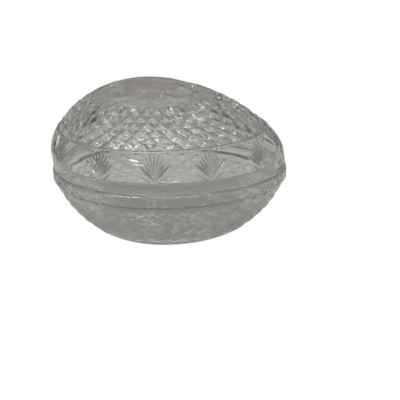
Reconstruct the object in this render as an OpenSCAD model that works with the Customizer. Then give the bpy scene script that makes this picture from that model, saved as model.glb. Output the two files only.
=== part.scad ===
// Egg-shaped crystal jar lying on its side: a deep bowl and a lift-off lid.
// X runs along the egg, with the narrow end at +X. Y runs across it.
// Z is up, and z = 0 is the flat foot that the bowl stands on. Units are mm.

/* [Overall size] */
// Length of the egg at its widest level
egg_length = 114; // [90:1:140]
// Width of the egg at its widest level
egg_width = 86; // [70:1:105]
// Height of the bowl, from the foot to the seam
bowl_height = 35.8; // [30:0.1:44]
// Height of the lid, from the seam to the crown
lid_height = 41.8; // [36:0.1:50]

/* [Egg form] */
// How much narrower the small end is than the blunt end
egg_taper = 0.1; // [0:0.01:0.2]
// How far the crown sits towards the blunt end
crown_shift = 8.6; // [0:0.1:14]
// Size of the flat foot as a share of the egg
foot_share = 0.4; // [0.3:0.01:0.5]
// How far the lid pulls in above its smooth band, as a share of the egg
lid_share = 0.988; // [0.96:0.001:1]

/* [Glass thickness] */
// Wall of the lid at its rim
lid_wall = 3.6; // [3:0.1:6]
// Extra glass in the lid's crown
crown_glass = 5.6; // [4:0.1:9]
// Glass under the bowl's floor
floor_glass = 7; // [5:0.1:10]

/* [Locating lip] */
// Height of the lip that stands inside the lid
lip_height = 4.5; // [3:0.1:7]
// Thickness of the lip
lip_wall = 2.2; // [1.6:0.1:3]
// Gap between the lip and the lid
lip_gap = 0.35; // [0.25:0.05:0.8]
// Gap between the lid's rim and the bowl's ledge
seat_gap = 0.05; // [0.02:0.01:0.2]

/* [Cut diamonds] */
// Depth of the lid's crossing grooves
groove_depth = 0.9; // [0.3:0.1:1.4]
// Depth of the bowl's crossing grooves
bowl_groove_depth = 0.5; // [0.3:0.1:1.4]
// Height above the seam where the lid's diamonds start
lid_cut_from = 19.7; // [16:0.1:24]
// Height above the seam where the lid's diamonds stop
lid_cut_to = 35.2; // [30:0.1:35.8]
// Depth below the seam where the bowl's smooth band ends
band_depth = 5.45; // [4:0.05:7]
// Depth below the seam where the bowl's diamonds start
bowl_cut_from = 9.1; // [8:0.1:12]
// Depth below the seam where the bowl's diamonds stop
bowl_cut_to = 28.7; // [22:0.1:29.5]

/* [Hidden] */

glass = [0.80, 0.82, 0.80, 0.45];

columns = 72;
lid_rows = 6;
bowl_rows = 8;
ledge = 0.35;
easing = 0.5;

half_l = egg_length / 2;
half_w = egg_width / 2;
seam = bowl_height;

// The lid's inside is the same egg, smaller.
lid_in_l = half_l * lid_share - lid_wall;
lid_in_w = half_w * lid_share - lid_wall;
lid_in_h = lid_height - crown_glass;

// The lip stands just inside the lid's rim.
lip_out_l = lid_in_l - lip_gap;
lip_out_w = lid_in_w - lip_gap;
bowl_in_l = lip_out_l - lip_wall;
bowl_in_w = lip_out_w - lip_wall;
bowl_in_h = bowl_height - floor_glass;

// Side view of the lid: share of the full egg at height u, u from 0 to 1.
dome_start = 0.205;
dome_bend = 1.467;
dome_round = 2.08;
function over(v) = max(0, min(1, v));
function dome(u) =
    pow(1 - pow(over((u - dome_start) / (1 - dome_start)), dome_bend), 1 / dome_round);

// Side view of the bowl: share of the full egg at depth v, v from 0 to 1.
keel_bend = 1.3;
keel_round = 3;
function keel(v, foot) =
    pow(1 - (1 - pow(foot, keel_round)) * pow(over(v), keel_bend), 1 / keel_round);

// The egg's centre drifts towards the blunt end as the lid rises.
shift_bend = 1.35;
function drift(u) = -crown_shift * pow(over(u), shift_bend);

// Angle of a column, spaced so that columns stand evenly round the egg.
evening = [2.31, 4, 0.98];
function turn(i) =
    let (a = 360 * i / columns)
    a + evening[0] * sin(a) + evening[1] * sin(2 * a) + evening[2] * sin(3 * a);

// One point of the egg outline: half length l, half width w, centre c, height z.
function egg_point(l, w, c, z, a) =
    [c + l * cos(a), -w * sin(a) * (1 - egg_taper * cos(a)), z];
// Sinks a point towards the middle of the seam plane by d.
function sunk(p, d) = p - d * (p - [0, 0, seam]) / norm(p - [0, 0, seam]);
// A plain ring, and a ring whose every second point is sunk into a groove.
function plain(l, w, c, z) =
    [for (i = [0 : columns - 1]) egg_point(l, w, c, z, turn(i))];
function cut(l, w, c, z, row, depth) =
    [for (i = [0 : columns - 1])
        sunk(egg_point(l, w, c, z, turn(i)),
            ledge + ((i + row) % 2 == 0 ? depth : 0))];

// Closes a stack of rings into one solid: a cap, the bands and a cap.
function band_faces(j, odd) = [
    for (i = [0 : columns - 1])
        let (n = (i + 1) % columns)
        let (a = j * columns + i, b = j * columns + n)
        let (d = a + columns, c = b + columns)
        each ((i + j + odd) % 2 == 0 ? [[a, b, c], [a, c, d]] : [[a, b, d], [b, c, d]])
];
module ring_solid(rings, first, last, odd) {
    count = len(rings);
    body = [for (r = rings) each r];
    points = concat(body, [first, last]);
    start_id = len(body);
    end_id = start_id + 1;
    tail = (count - 1) * columns;
    caps = [
        for (i = [0 : columns - 1])
            let (n = (i + 1) % columns)
            each [[start_id, n, i], [end_id, tail + i, tail + n]]
    ];
    bands = [for (j = [0 : count - 2]) each band_faces(j, odd)];
    polyhedron(points, concat(caps, bands), convexity = 6);
}

// Outside of the lid at height h above the seam, pulled in by s.
function lid_ring(h, s = 0) =
    let (u = h / lid_height)
    let (f = lid_share * dome(u))
    plain(half_l * f - s, half_w * f - s, drift(u), seam + h);
function lid_cut(row) =
    let (h = lid_cut_from + (lid_cut_to - lid_cut_from) * pow(row / lid_rows, 0.9))
    let (u = h / lid_height)
    let (f = lid_share * dome(u))
    cut(half_l * f, half_w * f, drift(u), seam + h, row, groove_depth);
// The hollow rises straight past the lip and only then drifts.
straight = lip_height + 1;
function lid_inside(h) =
    let (f = dome(h / lid_in_h))
    let (u = (h - straight) / (lid_in_h - straight))
    plain(lid_in_l * f, lid_in_w * f, drift(u), seam + h);

// Outside of the bowl at depth d below the seam, pulled in by s.
body_share = 0.985;
function bowl_share(d) =
    let (v = (d - band_depth) / (bowl_height - band_depth))
    body_share * keel(v, foot_share / body_share);
function bowl_ring(d, s = 0) =
    let (f = d <= band_depth ? 1 : bowl_share(d))
    plain(half_l * f - s, half_w * f - s, 0, seam - d);
function bowl_cut(row) =
    let (d = bowl_cut_from + (bowl_cut_to - bowl_cut_from) * row / bowl_rows)
    let (f = bowl_share(d))
    cut(half_l * f, half_w * f, 0, seam - d, row + 1, bowl_groove_depth);
inner_foot = 0.42;
function bowl_inside(d) =
    let (f = keel(d / bowl_in_h, inner_foot))
    plain(bowl_in_l * f, bowl_in_w * f, 0, seam - d);

// The bowl: foot, cut body, smooth band, ledge, lip and the hollow inside.
module bowl() {
    outside = [
        bowl_ring(bowl_height, 1.2),
        bowl_ring(bowl_height - 0.4, 0.3),
        bowl_ring(bowl_height - 2),
        bowl_ring(bowl_height - 4),
        for (row = [bowl_rows : -1 : 0]) bowl_cut(row),
        bowl_ring(bowl_cut_from - 0.9, ledge),
        bowl_ring(band_depth + 0.6, ledge),
        bowl_ring(band_depth),
        bowl_ring(2.6),
        bowl_ring(easing, 0.1),
        bowl_ring(0, easing)
    ];
    lip = [
        plain(lip_out_l, lip_out_w, 0, seam),
        plain(lip_out_l, lip_out_w, 0, seam + lip_height - easing),
        plain(lip_out_l - easing, lip_out_w - easing, 0, seam + lip_height),
        plain(bowl_in_l + easing, bowl_in_w + easing, 0, seam + lip_height),
        plain(bowl_in_l, bowl_in_w, 0, seam + lip_height - easing)
    ];
    hollow = [
        for (v = [0, 0.12, 0.28, 0.45, 0.62, 0.78, 0.9, 0.97, 1])
            bowl_inside(bowl_in_h * v)
    ];
    middle = [0, 0, floor_glass];
    color(glass) ring_solid(concat(outside, lip, hollow), [0, 0, 0], middle, 0);
}

// The lid: rim, smooth band, cut diamonds, smooth crown and the hollow inside.
module lid() {
    rim_out = [
        lid_ring(seat_gap, easing),
        lid_ring(easing, 0.1)
    ];
    smooth = [for (h = [3.5, 7, 11, 14.5, 17.5, 19.2]) lid_ring(h)];
    crown = [
        for (u = [0.862, 0.895, 0.93, 0.96, 0.98, 0.993, 0.998])
            lid_ring(lid_height * u, ledge * over((1 - u) / 0.14))
    ];
    outside = concat(
        rim_out,
        smooth,
        [lid_ring(lid_cut_from - 0.15)],
        [for (row = [0 : lid_rows]) lid_cut(row)],
        crown
    );
    rim_in = plain(lid_in_l, lid_in_w, 0, seam + seat_gap);
    hollow = [
        rim_in,
        lid_inside(straight),
        for (u = [0.22, 0.36, 0.5, 0.62, 0.74, 0.84, 0.92, 0.97, 0.993])
            lid_inside(lid_in_h * u)
    ];
    top = [-crown_shift, 0, seam + lid_height];
    under = [-crown_shift, 0, seam + lid_in_h];
    flipped = [for (i = [len(outside) - 1 : -1 : 0]) outside[i]];
    back = [for (i = [len(hollow) - 1 : -1 : 0]) hollow[i]];
    color(glass) ring_solid(concat(back, outside), under, top, 0);
}

bowl();
lid();
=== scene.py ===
"""Egg-shaped cut-crystal powder jar: a bowl and a lift-off lid, in clear glass."""

import math

import bmesh
import bpy
import numpy as np
from mathutils import Matrix, Vector


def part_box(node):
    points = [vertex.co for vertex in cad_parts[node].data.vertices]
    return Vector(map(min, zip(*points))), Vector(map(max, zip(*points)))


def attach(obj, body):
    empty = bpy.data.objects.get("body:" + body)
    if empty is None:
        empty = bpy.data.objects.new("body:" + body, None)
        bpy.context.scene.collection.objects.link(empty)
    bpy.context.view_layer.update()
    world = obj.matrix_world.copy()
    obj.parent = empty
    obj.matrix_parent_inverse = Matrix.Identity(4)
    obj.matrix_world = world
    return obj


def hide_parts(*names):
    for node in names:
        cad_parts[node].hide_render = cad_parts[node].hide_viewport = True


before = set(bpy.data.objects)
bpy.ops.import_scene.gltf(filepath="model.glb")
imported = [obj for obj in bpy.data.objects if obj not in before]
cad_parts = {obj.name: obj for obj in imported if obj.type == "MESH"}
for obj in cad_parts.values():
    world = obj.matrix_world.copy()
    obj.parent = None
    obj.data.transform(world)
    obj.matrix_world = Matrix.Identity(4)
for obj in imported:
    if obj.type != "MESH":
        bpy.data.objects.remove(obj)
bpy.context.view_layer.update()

MM = 0.001

# ---------------------------------------------------------------- egg form
# The jar's lengths are in mm, and each shell is built in metres. The overall size is
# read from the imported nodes' boxes.
bowl_low, bowl_high = (np.array(v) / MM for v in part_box("bowl"))
lid_low = np.array(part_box("lid")[0]) / MM

# The taper makes the egg a little wider than twice its nominal half width.
TAPER, WIDEST = 0.1, 1.005
HALF_L = (bowl_high[0] - bowl_low[0]) / 2
HALF_W = (bowl_high[1] - bowl_low[1]) / 2 / WIDEST
SEAT_GAP = 0.05
SEAM = lid_low[2] - SEAT_GAP
LID_H = 41.8
BOWL_H = SEAM
CROWN_SHIFT, SHIFT_BEND = 8.6, 1.35

# Shares of the full egg: the lid, the bowl's cut body and its foot.
LID_SHARE, BODY_SHARE, FOOT_SHARE = 0.988, 0.985, 0.4
# Share of the bowl's hollow that its floor takes up.
INNER_FOOT = 0.42

# Glass and lip.
LID_WALL, CROWN_GLASS, FLOOR_GLASS = 3.6, 5.6, 7.0
LIP_H, LIP_WALL, LIP_GAP = 4.5, 2.2, 0.35
STRAIGHT = LIP_H + 1

# Heights above the seam on the lid, depths below it on the bowl.
RIDGE_H, LID_CUT_TOP = 19.7, 35.2
BAND_D, BOWL_CUT_TOP, BOWL_CUT_END = 5.45, 9.1, 28.7

# How far the cut fields lie below the egg, and the step above the lid's smooth band.
LEDGE, RIDGE_STEP = 0.35, 0.85
# The smooth band is drawn in by a hair round one height, over a soft spread.
GIRTH_EASE, GIRTH_H, GIRTH_SPREAD = 0.17, 9.2, 3.2

# What repeats round the egg, and half rows of diamonds.
DIAMONDS, FANS, CROWN_MOTIFS = 36, 12, 4
LID_ROWS, BOWL_ROWS = 6, 8

LID_IN_L = HALF_L * LID_SHARE - LID_WALL
LID_IN_W = HALF_W * LID_SHARE - LID_WALL
LID_IN_H = LID_H - CROWN_GLASS
LIP_OUT_L, LIP_OUT_W = LID_IN_L - LIP_GAP, LID_IN_W - LIP_GAP
BOWL_IN_L, BOWL_IN_W = LIP_OUT_L - LIP_WALL, LIP_OUT_W - LIP_WALL
BOWL_IN_H = BOWL_H - FLOOR_GLASS

DOME_START, DOME_BEND, DOME_ROUND = 0.205, 1.467, 2.08
KEEL_BEND, KEEL_ROUND = 1.3, 3.0
# Degrees by which the columns are moved, by harmonic, to stand evenly round the egg.
EVENING = (2.31, 4.0, 0.98)


def dome(u):
    """Share of the lid's outline that is left at a share u of its height."""
    t = np.clip((u - DOME_START) / (1 - DOME_START), 0, 1)
    return (1 - t**DOME_BEND) ** (1 / DOME_ROUND)


def dome_height(share):
    """Share of the height at which the dome has this share of its outline left."""
    t = (1 - share**DOME_ROUND) ** (1 / DOME_BEND)
    return DOME_START + (1 - DOME_START) * t


def keel(v, foot):
    """Share of the bowl's outline that is left at a share v of its depth."""
    v = np.clip(v, 0, 1)
    return (1 - (1 - foot**KEEL_ROUND) * v**KEEL_BEND) ** (1 / KEEL_ROUND)


def drift(u):
    """How far the egg's centre has moved towards the blunt end."""
    return -CROWN_SHIFT * np.clip(u, 0, 1) ** SHIFT_BEND


def turn(share):
    """Angle of a place given as a share of the way round."""
    a = 2 * np.pi * share
    extra = sum(np.sin((k + 1) * a) * e for k, e in enumerate(EVENING))
    return a + np.radians(extra)


def ring(half_l, half_w, centre, z, share):
    """Points of an egg outline at the given shares of the way round."""
    a = turn(share)
    x = centre + half_l * np.cos(a)
    y = -half_w * np.sin(a) * (1 - TAPER * np.cos(a))
    return np.stack([x, y, np.full_like(x, z)], -1)


def lid_outer(h, share, pull=0.0):
    f = LID_SHARE * dome(h / LID_H)
    pull = pull + GIRTH_EASE * math.exp(-(((h - GIRTH_H) / GIRTH_SPREAD) ** 2))
    return ring(HALF_L * f - pull, HALF_W * f - pull, drift(h / LID_H), SEAM + h, share)


def lid_inner(h, share):
    f = dome(h / LID_IN_H)
    u = (h - STRAIGHT) / (LID_IN_H - STRAIGHT)
    return ring(LID_IN_L * f, LID_IN_W * f, drift(u), SEAM + h, share)


def bowl_share(d):
    if d <= BAND_D:
        return 1.0
    v = (d - BAND_D) / (BOWL_H - BAND_D)
    return BODY_SHARE * keel(v, FOOT_SHARE / BODY_SHARE)


def bowl_outer(d, share, pull=0.0):
    f = bowl_share(d)
    return ring(HALF_L * f - pull, HALF_W * f - pull, 0, SEAM - d, share)


def bowl_inner(d, share):
    f = keel(d / BOWL_IN_H, INNER_FOOT)
    return ring(BOWL_IN_L * f, BOWL_IN_W * f, 0, SEAM - d, share)


# ---------------------------------------------------------------- cutting
def normals(grid):
    """Outward normals of a closed grid of rings."""
    along = np.roll(grid, -1, 1) - np.roll(grid, 1, 1)
    up = np.gradient(grid, axis=0)
    n = np.cross(along, up)
    n /= np.linalg.norm(n, axis=-1, keepdims=True)
    middle = grid.mean((0, 1))
    if ((grid - middle) * n).sum() < 0:
        n = -n
    return n


def sink(grid, depth):
    return grid - normals(grid) * depth[..., None]


# How sharply two crossing grooves meet.
CROSSING = 5


def diamonds(col, row, depth, swell):
    """Crossing grooves where col + row is even, with rounded diamonds between."""
    a, b = (col + row) / 2, (col - row) / 2
    ga = (1 - 2 * np.abs(a - np.round(a))) ** swell
    gb = (1 - 2 * np.abs(b - np.round(b))) ** swell
    return depth * (ga**CROSSING + gb**CROSSING) ** (1 / CROSSING)


def groove(u, v, start, angle, length, half_width, depth, swell=0.45):
    """A leaf-shaped V groove from a point, at an angle off the v axis, widest at a share swell."""
    s, c = math.sin(angle), math.cos(angle)
    du, dv = u - start[0], v - start[1]
    along = (du * s + dv * c) / length
    off = np.abs(du * c - dv * s)
    t = np.clip(along, 0, 1)
    rising = (t / swell) ** 0.6
    falling = np.sqrt(np.clip(1 - ((t - swell) / (1 - swell)) ** 2, 0, 1))
    body = np.where(t < swell, rising, falling)
    wide = np.maximum(half_width * body, 1e-3)
    inside = (along > 0) & (along < 1)
    return np.where(inside, depth * body * np.clip(1 - off / wide, 0, 1), 0)


def tangents(surface, level, share):
    """Centre and two unit tangents of a surface at one place."""
    def at(rise, along):
        return surface(level + rise, np.array([share + along]))[0]

    across = at(0, 1e-3) - at(0, -1e-3)
    across /= np.linalg.norm(across)
    up = at(0.05, 0) - at(-0.05, 0)
    up -= across * (up @ across)
    return at(0, 0), across, up / np.linalg.norm(up)


def measured(grid, centre, across, up):
    """Each point's place across, up and straight from a centre."""
    d = grid - centre
    return d @ across, d @ up, np.linalg.norm(d, axis=-1)


# A fan stands on a point at this height. Its rays, from the middle out, are given
# as degrees off upright, length, half width and depth.
FAN_H, FAN_FIELD = 7.7, 18
FAN_RAYS = (
    (0, 11.6, 0.52, 0.70),
    (10.5, 11.3, 0.48, 0.66),
    (21, 10.6, 0.48, 0.66),
    (32, 9.4, 0.50, 0.68),
    (46, 9.2, 0.80, 0.80),
)
# Below the fan hang a chevron's two wings and a stem of two close lines, given
# as length, half width, depth and swell.
WING_DROP, WING_ANGLE, WING = -2.2, 56, (8.0, 0.36, 0.36, 0.3)
STEM_SIDE, STEM = 0.45, (5.0, 0.2, 0.12, 0.5)


def fan_relief(grid):
    """Fans, chevrons and stems on the lid's smooth band."""
    depth = np.zeros(grid.shape[:2])
    for n in range(FANS):
        c, across, up = tangents(lid_outer, FAN_H, n / FANS)
        u, v, away = measured(grid, c, across, up)
        cut = np.zeros_like(depth)
        for side in (-1, 1):
            for angle, *shape in FAN_RAYS:
                cut = np.maximum(cut, groove(u, v, (0, 0), math.radians(side * angle), *shape))
            wing = groove(u, v, (0, WING_DROP), math.radians(side * WING_ANGLE), *WING)
            stem = groove(u, v, (side * STEM_SIDE, WING_DROP), math.pi, *STEM)
            cut = np.maximum(cut, np.maximum(wing, stem))
        depth = np.where(away < FAN_FIELD, np.maximum(depth, cut), depth)
    return depth


# The crown's pattern sits a little towards +X of the crown's own centre.
CROWN_NUDGE = np.array([1.2, 0, 0])
OVAL_H, OVAL_HALF_L, OVAL_HALF_W, OVAL_DEPTH, OVAL_BEND = 38.75, 7.0, 5.6, 1.8, 0.9
# The small fans open outwards from this height.
SMALL_FAN_H, SMALL_FAN_FIELD = 40.3, 14
SMALL_RAYS, SMALL_RAY_ANGLE = 4, 19
SMALL_RAY_L, SMALL_RAY_LOSS, SMALL_RAY = 8.6, 0.28, (0.46, 0.6, 0.55)


def crown_relief(grid):
    """Polished ovals and small fans, by turns round the crown, as two depths."""
    lens = np.zeros(grid.shape[:2])
    strokes = np.zeros(grid.shape[:2])
    for n in range(CROWN_MOTIFS):
        c, across, up = tangents(lid_outer, OVAL_H, (n + 0.5) / CROWN_MOTIFS)
        u, v, _ = measured(grid, c + CROWN_NUDGE, across, up)
        r2 = (u / OVAL_HALF_L) ** 2 + (v / OVAL_HALF_W) ** 2
        lens = np.maximum(lens, OVAL_DEPTH * np.clip(1 - r2, 0, 1) ** OVAL_BEND)
        c, across, up = tangents(lid_outer, SMALL_FAN_H, n / CROWN_MOTIFS)
        u, v, away = measured(grid, c + CROWN_NUDGE, across, up)
        cut = np.zeros_like(lens)
        for k in range(-SMALL_RAYS, SMALL_RAYS + 1):
            a = math.radians(180 + k * SMALL_RAY_ANGLE)
            reach = SMALL_RAY_L - SMALL_RAY_LOSS * abs(k)
            cut = np.maximum(cut, groove(u, v, (0, 0), a, reach, *SMALL_RAY))
        strokes = np.where(away < SMALL_FAN_FIELD, np.maximum(strokes, cut), strokes)
    return lens, strokes


# Chevrons on the bowl's rim: depth of their point, and each line's degrees and length.
CHEVRON_D, CHEVRON_FIELD = 0.6, 12
CHEVRON_LINES, CHEVRON_LINE = ((50, 7.2), (22, 4.4)), (0.38, 0.7, 0.5)
UPRIGHT = np.array([0, 0, 1.0])


def chevron_relief(grid):
    """Chevrons that hang from the seam under each fan."""
    depth = np.zeros(grid.shape[:2])
    for n in range(FANS):
        c, across, _ = tangents(bowl_outer, CHEVRON_D, n / FANS)
        u, v, away = measured(grid, c, across, UPRIGHT)
        cut = np.zeros_like(depth)
        for side in (-1, 1):
            for spread, length in CHEVRON_LINES:
                a = math.pi - math.radians(side * spread)
                cut = np.maximum(cut, groove(u, v, (0, 0), a, length, *CHEVRON_LINE))
        depth = np.where(away < CHEVRON_FIELD, np.maximum(depth, cut), depth)
    return depth


# ---------------------------------------------------------------- meshes
class Shell:
    """A closed skin made of rings, each with its own number of columns."""

    def __init__(self):
        self.points, self.cuts, self.faces = [], [], []
        self.count, self.last = 0, None

    def add(self, pts, cut=None):
        ids = np.arange(len(pts)) + self.count
        self.points.append(pts)
        self.cuts.append(np.zeros(len(pts)) if cut is None else cut)
        self.count += len(pts)
        return ids

    def pole(self, point):
        self.last = self.add(np.array([point], float))

    def ring(self, pts, parity=None, cut=None):
        """Joins one more ring. Parity says which diagonal splits each square."""
        ids = self.add(pts, cut)
        if self.last is not None:
            self.join(self.last, ids, parity)
        self.last = ids

    def edge(self, outline, start, profile, cols):
        """Rings of an edge profile, whose levels count from a start level."""
        for level, pull, matt_and_shade in profile:
            self.ring(outline(start + level, cols, pull), cut=np.full(len(cols), matt_and_shade))

    def end(self, point):
        ids = self.add(np.array([point], float))
        self.join(self.last, ids, None)

    def join(self, a, b, parity):
        na, nb = len(a), len(b)
        if na == 1:
            self.faces += [(a[0], b[i], b[(i + 1) % nb]) for i in range(nb)]
        elif nb == 1:
            self.faces += [(a[(i + 1) % na], a[i], b[0]) for i in range(na)]
        elif na != nb:
            self.zip_up(a, b)
        elif parity is None:
            self.faces += list(zip(a, b, np.roll(b, -1), np.roll(a, -1)))
        else:
            for a1, b1, a2, b2, even in zip(a, b, np.roll(a, -1), np.roll(b, -1), parity):
                if even:
                    self.faces += [(a1, b1, b2), (a1, b2, a2)]
                else:
                    self.faces += [(a1, b1, a2), (b1, b2, a2)]

    def zip_up(self, a, b):
        """Joins two rings that differ in their number of columns."""
        na, nb = len(a), len(b)
        i = j = 0
        while i < na or j < nb:
            step_a = (i + 1) / na if i < na else 2
            step_b = (j + 1) / nb if j < nb else 2
            if step_a <= step_b:
                self.faces.append((a[i % na], b[j % nb], a[(i + 1) % na]))
                i += 1
            else:
                self.faces.append((a[i % na], b[j % nb], b[(j + 1) % nb]))
                j += 1

    def build(self, name, crease=24):
        """The mesh in metres, smooth except at edges sharper than the crease angle."""
        pts = np.concatenate(self.points) * MM
        me = bpy.data.meshes.new(name)
        me.from_pydata(pts.tolist(), [], [tuple(int(v) for v in f) for f in self.faces])
        matt_and_shade = me.attributes.new("cut", "FLOAT", "POINT")
        matt_and_shade.data.foreach_set("value", np.concatenate(self.cuts).astype(np.float32))
        bm = bmesh.new()
        bm.from_mesh(me)
        bmesh.ops.recalc_face_normals(bm, faces=bm.faces)
        bm.to_mesh(me)
        bm.free()
        me.shade_smooth()
        me.set_sharp_from_angle(angle=math.radians(crease))
        ob = bpy.data.objects.new(name, me)
        bpy.context.scene.collection.objects.link(ob)
        return ob


# Length round the egg at the fans, and half the width that a fan's close columns cover.
GIRTH, FAN_HALF = 311.0, 7.6


def fan_columns(dense, sparse):
    """Column places: close together across each fan, wider apart between fans."""
    half = FAN_HALF / (GIRTH / FANS)
    one = np.concatenate([
        np.linspace(-half, half, dense, endpoint=False),
        np.linspace(half, 1 - half, sparse, endpoint=False),
    ])
    cols = np.concatenate([(n + one) / FANS for n in range(FANS)])
    return np.sort(cols % 1.0)


CUT_STEPS = 6
CUT_COUNT = DIAMONDS * 2 * CUT_STEPS
CUT_COLS = np.arange(CUT_COUNT) / CUT_COUNT
BAND_COLS = fan_columns(dense=64, sparse=10)
INNER_COUNT = 144
INNER_COLS = np.arange(INNER_COUNT) / INNER_COUNT


def lattice(outline, rows, levels, flip, depth, swell, step=0.0):
    """Rings of a field of cut diamonds, from level 0 to level rows, below a step."""
    row = np.arange(rows * CUT_STEPS + 1) / CUT_STEPS
    grid = np.stack([outline(levels(r), CUT_COLS) for r in row])
    col = CUT_COLS * DIAMONDS * 2
    cut = diamonds(col[None, :], row[:, None] + flip, depth, swell)
    mitre = (step - LEDGE) * np.clip(1 - row / 0.5, 0, 1)
    return sink(grid, LEDGE + np.maximum(cut, mitre[:, None])), cut


def parity_for(k, flip):
    """Diagonals of the squares between rings k - 1 and k of a field of diamonds."""
    if k == 0:
        return None
    cell = np.arange(CUT_COUNT) // CUT_STEPS
    return (cell + (k - 1) // CUT_STEPS + flip) % 2 == 0


# Edge profiles: level, how far the edge pulls in, and how matt it is from 0 to 1, which also sets
# how far it is darkened by painted shade.
LID_RIM = (
    (0.05, 0.85, 0.9),
    (0.12, 0.68, 0.8),
    (0.4, 0.46, 0.2),
    (0.75, 0.22, 0.0),
    (0.95, 0.09, 0.0),
    (1.2, 0.02, 0.0),
)
LID_RIDGE = (
    (-0.4, 0.0, 0.0),
    (-0.2, 0.04, 0.5),
    (0.0, 0.2, 1.0),
    (0.06, RIDGE_STEP, 1.0),
)
BOWL_RIM = (
    (0.0, 0.8, 0.8),
    (0.06, 0.66, 0.2),
    (0.3, 0.36, 0.0),
    (0.6, 0.14, 0.0),
    (0.85, 0.05, 0.0),
    (1.1, 0.015, 0.0),
)
BOWL_EDGE = (
    (-0.9, 0.0, 0.0),
    (-0.65, 0.07, 0.6),
    (-0.15, 0.42, 1.0),
    (0.0, 0.62, 1.0),
)
# Under the bowl's band, a thin ring at full matt: painted shade, a dark line in the step under the
# band's edge.
BELOW_EDGE = (
    (0.5, LEDGE, 1.0),
    (0.85, LEDGE, 1.0),
    (1.15, LEDGE, 0.0),
)
# Rounded top of the lip: how far it pulls in, and how far below the top.
LIP_ROUND = ((0.0, 0.5), (0.12, 0.15), (0.5, 0.0))

# How matt a cut is, per mm of its depth. This also sets how far the cut is darkened by painted
# shade.
GROOVE_MATT_AND_SHADE, SMALL_FAN_MATT_AND_SHADE, CHEVRON_MATT_AND_SHADE = 0.13, 0.5, 0.3
# Diamonds: depth of the grooves, and how sharply they fall away.
LID_DIAMOND, BOWL_DIAMOND = (0.95, 1.7), (0.54, 2.3)

# Rings of the crown, in runs that use every column, every second and every fourth:
# (step between columns, first ring, ring to stop before). Each run takes in the last
# ring of the run before, to get its slopes right, and doesn't add it again.
CROWN_RINGS = 56
CROWN_RUNS = ((1, 0, 37), (2, 36, 50), (4, 49, CROWN_RINGS))
# Top share of the lid's height over which the ledge fades out.
FADE = 0.14


def lid_hollow(shell):
    shell.pole((-CROWN_SHIFT, 0, SEAM + LID_IN_H))
    for f in np.concatenate([np.linspace(0.06, 0.9, 26), [0.93, 0.955, 0.975, 0.99]]):
        shell.ring(lid_inner(LID_IN_H * dome_height(f), INNER_COLS))
    for h in (LID_IN_H * DOME_START, STRAIGHT, 0.6):
        shell.ring(lid_inner(h, INNER_COLS))
    ease = 0.35
    shell.ring(ring(LID_IN_L + ease, LID_IN_W + ease, 0, SEAM + SEAT_GAP, INNER_COLS))


def lid_band(shell):
    shell.edge(lid_outer, 0, LID_RIM, BAND_COLS)
    levels = np.concatenate([np.linspace(1.5, 5.0, 10), np.arange(5.3, 19.2, 0.3)])
    grid = np.stack([lid_outer(h, BAND_COLS) for h in levels])
    relief = fan_relief(grid)
    for pts, cut in zip(sink(grid, relief), relief):
        shell.ring(pts, cut=cut)
    shell.edge(lid_outer, RIDGE_H, LID_RIDGE, BAND_COLS)


def lid_diamonds(shell):
    start = RIDGE_H + 0.1

    def level(row):
        return start + (LID_CUT_TOP - RIDGE_H - 0.1) * (row / LID_ROWS) ** 0.9

    grid, cuts = lattice(lid_outer, LID_ROWS, level, 0, *LID_DIAMOND, RIDGE_STEP)
    for k, (pts, cut) in enumerate(zip(grid, cuts)):
        shell.ring(pts, parity_for(k, 0), cut * GROOVE_MATT_AND_SHADE)


def lid_crown(shell):
    start = LID_SHARE * dome(LID_CUT_TOP / LID_H)
    shares = np.linspace(start * 0.985, 0.05, CROWN_RINGS) / LID_SHARE
    heights = LID_H * dome_height(shares)
    for step, first, stop in CROWN_RUNS:
        hs = heights[first:stop]
        grid = np.stack([lid_outer(h, CUT_COLS[::step]) for h in hs])
        ledge = LEDGE * np.clip((1 - hs / LID_H) / FADE, 0, 1)
        lens, strokes = crown_relief(grid)
        grid = sink(grid, np.maximum(lens, strokes) + ledge[:, None])
        shared = min(first, 1)
        for pts, cut in zip(grid[shared:], strokes[shared:]):
            shell.ring(pts, cut=cut * SMALL_FAN_MATT_AND_SHADE)
    shell.end((-CROWN_SHIFT, 0, SEAM + LID_H - 0.02))


def bowl_hollow(shell):
    shell.pole((0, 0, FLOOR_GLASS))
    for f in np.linspace(0.05, 0.95, 14):
        s = INNER_FOOT * f
        shell.ring(ring(BOWL_IN_L * s, BOWL_IN_W * s, 0, FLOOR_GLASS, INNER_COLS))
    for v in 1 - np.linspace(0, 1, 40)[1:] ** 1.2:
        shell.ring(bowl_inner(BOWL_IN_H * v, INNER_COLS))


def bowl_lip(shell):
    top = SEAM + LIP_H
    for pull, drop in LIP_ROUND:
        shell.ring(ring(BOWL_IN_L + pull, BOWL_IN_W + pull, 0, top - drop, INNER_COLS))
    for pull, drop in reversed(LIP_ROUND):
        shell.ring(ring(LIP_OUT_L - pull, LIP_OUT_W - pull, 0, top - drop, INNER_COLS))
    shell.ring(ring(LIP_OUT_L, LIP_OUT_W, 0, SEAM, INNER_COLS))


def bowl_band(shell):
    shell.edge(bowl_outer, 0, BOWL_RIM, BAND_COLS)
    levels = np.linspace(1.3, BAND_D - 1.1, 16)
    grid = np.stack([bowl_outer(d, BAND_COLS) for d in levels])
    relief = chevron_relief(grid)
    for pts, cut in zip(sink(grid, relief), relief):
        shell.ring(pts, cut=cut * CHEVRON_MATT_AND_SHADE)
    shell.edge(bowl_outer, BAND_D, BOWL_EDGE, BAND_COLS)
    shell.edge(bowl_outer, BAND_D, BELOW_EDGE, CUT_COLS)


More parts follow.
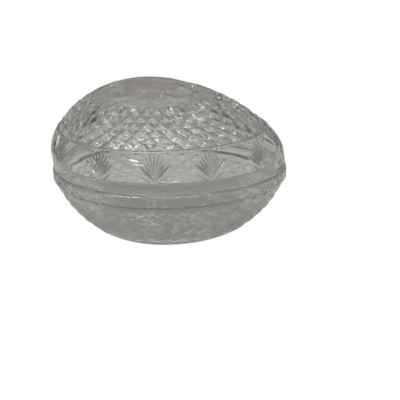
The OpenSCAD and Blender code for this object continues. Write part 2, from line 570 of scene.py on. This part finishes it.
def bowl_diamonds(shell):
    for d in np.linspace(BAND_D + 1.6, BOWL_CUT_TOP - 0.5, 4):
        shell.ring(bowl_outer(d, CUT_COLS, LEDGE))

    def level(row):
        return BOWL_CUT_TOP + (BOWL_CUT_END - BOWL_CUT_TOP) * row / BOWL_ROWS

    grid, _ = lattice(bowl_outer, BOWL_ROWS, level, 1, *BOWL_DIAMOND)
    for k, pts in enumerate(grid):
        shell.ring(pts, parity_for(k, 1))


def bowl_foot(shell):
    for d in np.linspace(BOWL_CUT_END + 0.5, BOWL_H - 1.0, 12):
        shell.ring(bowl_outer(d, CUT_COLS, 0.1))
    for rise, pull in ((0.35, 0.35), (0, 1.2)):
        shell.ring(bowl_outer(BOWL_H - rise, CUT_COLS, pull))
    for f in (0.9, 0.75, 0.6, 0.45, 0.3, 0.15):
        s = FOOT_SHARE * f
        shell.ring(ring(HALF_L * s, HALF_W * s, 0, 0, CUT_COLS[::3]))
    shell.end((0, 0, 0))


def make_piece(name, parts):
    """One closed shell, from the middle of its hollow over the rim to its outside."""
    shell = Shell()
    for part in parts:
        part(shell)
    return shell.build(name)


# ---------------------------------------------------------------- materials
# Sockets of a colour mix: its share, its two colours and its result.
SHARE, FIRST, SECOND, MIXED = 0, 6, 7, 2
# Painted shade: the dark grey that a cut's colour is mixed towards as it gets matt, standing in
# for shade in grooves and along edges.
PAINTED_CUT_SHADE = (0.38, 0.38, 0.37)


def add(nodes, kind, **values):
    """A new node, with its sockets set by name."""
    node = nodes.new(kind)
    for key, value in values.items():
        node.inputs[key.replace("_", " ")].default_value = value
    return node


def add_mix(nodes):
    """A new colour mix."""
    node = nodes.new("ShaderNodeMix")
    node.data_type = "RGBA"
    return node


def crystal(name, tint):
    """Clear glass with a slight ripple. A cut is rougher where it is matt, and greyer there as
    painted shade.
    """
    mat = bpy.data.materials.new(name)
    mat.use_nodes = True
    nodes, links = mat.node_tree.nodes, mat.node_tree.links
    nodes.clear()
    out = nodes.new("ShaderNodeOutputMaterial")
    glass = add(nodes, "ShaderNodeBsdfPrincipled", Transmission_Weight=1.0, IOR=1.54, Metallic=0.0)
    links.new(glass.outputs["BSDF"], out.inputs["Surface"])
    coords = nodes.new("ShaderNodeTexCoord")
    cloud = add(nodes, "ShaderNodeTexNoise", Scale=60.0, Detail=3.0)
    links.new(coords.outputs["Object"], cloud.inputs["Vector"])
    cut = nodes.new("ShaderNodeAttribute")
    cut.attribute_name = "cut"

    haze = add(nodes, "ShaderNodeMapRange", From_Min=0.35, From_Max=0.75, To_Min=0.0, To_Max=0.035)
    frost = add(nodes, "ShaderNodeMapRange", From_Max=0.3, To_Max=0.12)
    total = nodes.new("ShaderNodeMath")
    links.new(cloud.outputs["Fac"], haze.inputs["Value"])
    links.new(cut.outputs["Fac"], frost.inputs["Value"])
    links.new(haze.outputs["Result"], total.inputs[0])
    links.new(frost.outputs["Result"], total.inputs[1])
    links.new(total.outputs["Value"], glass.inputs["Roughness"])

    colour = add_mix(nodes)
    colour.inputs[FIRST].default_value = (*tint, 1)
    colour.inputs[SECOND].default_value = (tint[0] * 0.985, tint[1], tint[2] * 0.99, 1)
    links.new(cloud.outputs["Fac"], colour.inputs[SHARE])
    # Painted shade: the more matt a cut is, the more its colour is mixed towards a dark grey.
    matt_and_shade = nodes.new("ShaderNodeMapRange")
    links.new(cut.outputs["Fac"], matt_and_shade.inputs["Value"])
    shade = add_mix(nodes)
    shade.inputs[SECOND].default_value = (*PAINTED_CUT_SHADE, 1)
    links.new(matt_and_shade.outputs["Result"], shade.inputs[SHARE])
    links.new(colour.outputs[MIXED], shade.inputs[FIRST])
    links.new(shade.outputs[MIXED], glass.inputs["Base Color"])

    ripple = add(nodes, "ShaderNodeTexNoise", Scale=150.0, Detail=2.0)
    bump = add(nodes, "ShaderNodeBump", Strength=0.25, Distance=0.00006)
    links.new(coords.outputs["Object"], ripple.inputs["Vector"])
    links.new(ripple.outputs["Fac"], bump.inputs["Height"])
    links.new(bump.outputs["Normal"], glass.inputs["Normal"])
    return mat


lid = make_piece("lid_crystal", (lid_hollow, lid_band, lid_diamonds, lid_crown))
bowl = make_piece("bowl_crystal", (bowl_hollow, bowl_lip, bowl_band, bowl_diamonds, bowl_foot))
lid.data.materials.append(crystal("lid_glass", (0.965, 0.968, 0.958)))
bowl.data.materials.append(crystal("bowl_glass", (0.948, 0.96, 0.948)))
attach(lid, "lid")
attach(bowl, "bowl")
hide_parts("lid")
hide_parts("bowl")


# ---------------------------------------------------------------- studio
# What the glass sees of the room: degrees above level, and brightness there.
# It is a bright ceiling over pale strips with dark gaps. The back is towards +Y.
BACK = (
    (0, 0.06), (4.5, 0.06), (5.5, 0.34), (9.5, 0.34), (10.5, 0.25), (15.5, 0.25), (17, 0.32),
    (30, 0.29), (38, 0.12), (55, 0.08), (63, 0.14), (68, 1.05), (90, 1.05),
)
SIDES = (
    (0, 0.16), (5, 0.08), (16, 0.08), (20, 0.15), (30, 0.13), (36, 0.06),
    (47, 0.20), (52, 0.70), (65, 0.80), (68, 1.05), (90, 1.05),
)
FRONT = (
    (0, 0.10), (4.5, 0.20), (6, 0.90), (10, 0.80), (14, 0.36), (20, 0.10), (30, 0.02),
    (36, 0.25), (46, 0.30), (50, 0.55), (64, 0.60), (68, 1.05), (90, 1.05),
)
# What the glass sees of the floor, as painted light on a glowing floor: metres from the jar's
# middle, and brightness. Near the middle it is a painted shadow under the jar, with painted pools
# of light round it.
FLOOR_PAINTED_LIGHT = (
    (0.0, 0.24), (0.035, 0.24), (0.05, 0.28), (0.06, 0.40), (0.085, 0.46), (0.095, 0.56),
    (0.105, 0.54), (0.115, 0.40), (0.16, 0.42), (0.24, 0.48), (0.34, 0.42), (0.36, 0.08),
    (0.58, 0.08), (0.62, 0.72), (1.0, 0.72),
)
FLOOR_HALF, FLOOR_DROP = 3.0, 0.0004
# Tints: the room and floor are a warm grey, and the back is browner.
WARM, BROWN = (1.0, 0.98, 0.93), (1.0, 0.945, 0.90)
# The back and the front take over from the sides as a direction turns towards them:
# the size of its Y part where that starts and ends.
TURN_START, TURN_END = 0.35, 0.7


def ramp_of(nodes, stops, tint):
    """A tinted grey ramp: stops are (place, brightness)."""
    ramp = nodes.new("ShaderNodeValToRGB")
    band = ramp.color_ramp
    band.elements.remove(band.elements[1])
    for k, (place, value) in enumerate(stops):
        item = band.elements[0] if k == 0 else band.elements.new(place)
        item.position = place
        item.color = (*(value * t for t in tint), 1)
    return ramp


def by_height(stops):
    """Ramp stops from angles: the ramp runs from straight down to straight up."""
    return [(0.5 + 0.5 * math.sin(math.radians(angle)), value) for angle, value in stops]


def camera_switch(nodes, links, out, others, camera):
    """Shows one shader to the camera and another to everything else."""
    mix = nodes.new("ShaderNodeMixShader")
    path = nodes.new("ShaderNodeLightPath")
    links.new(path.outputs["Is Camera Ray"], mix.inputs["Fac"])
    links.new(others.outputs[0], mix.inputs[1])
    links.new(camera.outputs[0], mix.inputs[2])
    links.new(mix.outputs["Shader"], out.inputs["Surface"])


def make_world():
    world = bpy.data.worlds.new("studio")
    bpy.context.scene.world = world
    world.use_nodes = True
    nodes, links = world.node_tree.nodes, world.node_tree.links
    nodes.clear()
    out = nodes.new("ShaderNodeOutputWorld")
    white = add(nodes, "ShaderNodeBackground", Color=(1, 1, 1, 1), Strength=1.0)
    room = add(nodes, "ShaderNodeBackground", Strength=1.0)
    coords = nodes.new("ShaderNodeTexCoord")
    split = nodes.new("ShaderNodeSeparateXYZ")
    lift = add(nodes, "ShaderNodeMapRange", From_Min=-1.0, From_Max=1.0)
    links.new(coords.outputs["Generated"], split.inputs["Vector"])
    links.new(split.outputs["Z"], lift.inputs["Value"])
    sides = ramp_of(nodes, by_height(SIDES), WARM)
    links.new(lift.outputs["Result"], sides.inputs["Fac"])
    colour = sides.outputs["Color"]
    for stops, tint, way in ((BACK, BROWN, 1), (FRONT, WARM, -1)):
        ramp = ramp_of(nodes, by_height(stops), tint)
        share = add(
            nodes, "ShaderNodeMapRange", From_Min=way * TURN_START, From_Max=way * TURN_END
        )
        both = add_mix(nodes)
        links.new(lift.outputs["Result"], ramp.inputs["Fac"])
        links.new(split.outputs["Y"], share.inputs["Value"])
        links.new(share.outputs["Result"], both.inputs[SHARE])
        links.new(colour, both.inputs[FIRST])
        links.new(ramp.outputs["Color"], both.inputs[SECOND])
        colour = both.outputs[MIXED]
    links.new(colour, room.inputs["Color"])
    camera_switch(nodes, links, out, room, white)


def make_floor():
    s = FLOOR_HALF
    me = bpy.data.meshes.new("floor")
    me.from_pydata([(-s, -s, 0), (s, -s, 0), (s, s, 0), (-s, s, 0)], [], [(0, 1, 2, 3)])
    floor = bpy.data.objects.new("floor", me)
    bpy.context.scene.collection.objects.link(floor)
    floor.location.z = -FLOOR_DROP
    mat = bpy.data.materials.new("pale_floor")
    mat.use_nodes = True
    nodes, links = mat.node_tree.nodes, mat.node_tree.links
    nodes.clear()
    out = nodes.new("ShaderNodeOutputMaterial")
    white = add(nodes, "ShaderNodeEmission", Color=(1, 1, 1, 1))
    # The camera sees an even white; every other ray sees the floor glow with painted light, darker
    # under the jar as a painted shadow.
    shaded = nodes.new("ShaderNodeEmission")
    coords = nodes.new("ShaderNodeTexCoord")
    length = nodes.new("ShaderNodeVectorMath")
    length.operation = "LENGTH"
    ramp = ramp_of(nodes, FLOOR_PAINTED_LIGHT, WARM)
    links.new(coords.outputs["Object"], length.inputs[0])
    links.new(length.outputs["Value"], ramp.inputs["Fac"])
    links.new(ramp.outputs["Color"], shaded.inputs["Color"])
    camera_switch(nodes, links, out, shaded, white)
    me.materials.append(mat)


centre = Vector((0, 0, SEAM * MM))
LAMP_COLOUR = (1.0, 0.99, 0.96)


def towards(turned, raised):
    """A direction: degrees round from the front towards +X, and degrees up."""
    t, r = math.radians(turned), math.radians(raised)
    return Vector((math.sin(t) * math.cos(r), -math.cos(t) * math.cos(r), math.sin(r)))


def lamp(name, turned, raised, size, power, reach=0.8, colour=LAMP_COLOUR):
    """An area lamp at a bearing and a distance from the jar, turned to face it."""
    data = bpy.data.lights.new(name, "AREA")
    data.shape = "RECTANGLE"
    data.size, data.size_y = size
    data.energy = power
    data.color = colour
    ob = bpy.data.objects.new(name, data)
    bpy.context.scene.collection.objects.link(ob)
    ob.location = centre + towards(turned, raised) * reach
    ob.rotation_euler = (centre - ob.location).to_track_quat("-Z", "Y").to_euler()
    ob.visible_camera = False


make_world()
make_floor()
lamp("spark", -16, 28, (0.07, 0.03), 0.1, 0.6, (1, 1, 1))
lamp("key", -25, 62, (0.06, 0.06), 0.3)
for k, raised in enumerate((57, 69, 81)):
    lamp(f"tube_{k}", -4, raised, (0.8, 0.02), 1.05)


# ---------------------------------------------------------------- camera
AZIMUTH, ELEVATION, ROLL = 5.85, 21.2, 1.08
DISTANCE = 0.399
LENS, SENSOR = 73.33, 36.0
SHIFT_X, SHIFT_Y = 0.0775, -0.094

cam_data = bpy.data.cameras.new("camera")
cam_data.sensor_width = SENSOR
cam_data.lens = LENS
cam_data.shift_x = SHIFT_X
cam_data.shift_y = SHIFT_Y
cam_data.clip_start = 0.01
camera = bpy.data.objects.new("camera", cam_data)
bpy.context.scene.collection.objects.link(camera)
back = towards(AZIMUTH, ELEVATION)
right = Vector((math.cos(math.radians(AZIMUTH)), math.sin(math.radians(AZIMUTH)), 0))
basis = Matrix((right, back.cross(right), back)).transposed().to_4x4()
spin = Matrix.Rotation(math.radians(-ROLL), 4, "Z")
camera.matrix_world = Matrix.Translation(centre + back * DISTANCE) @ basis @ spin
bpy.context.scene.camera = camera

bpy.context.scene.view_settings.view_transform = "Standard"
cycles = bpy.context.scene.cycles
cycles.max_bounces = 32
cycles.transmission_bounces = 32
cycles.glossy_bounces = 16
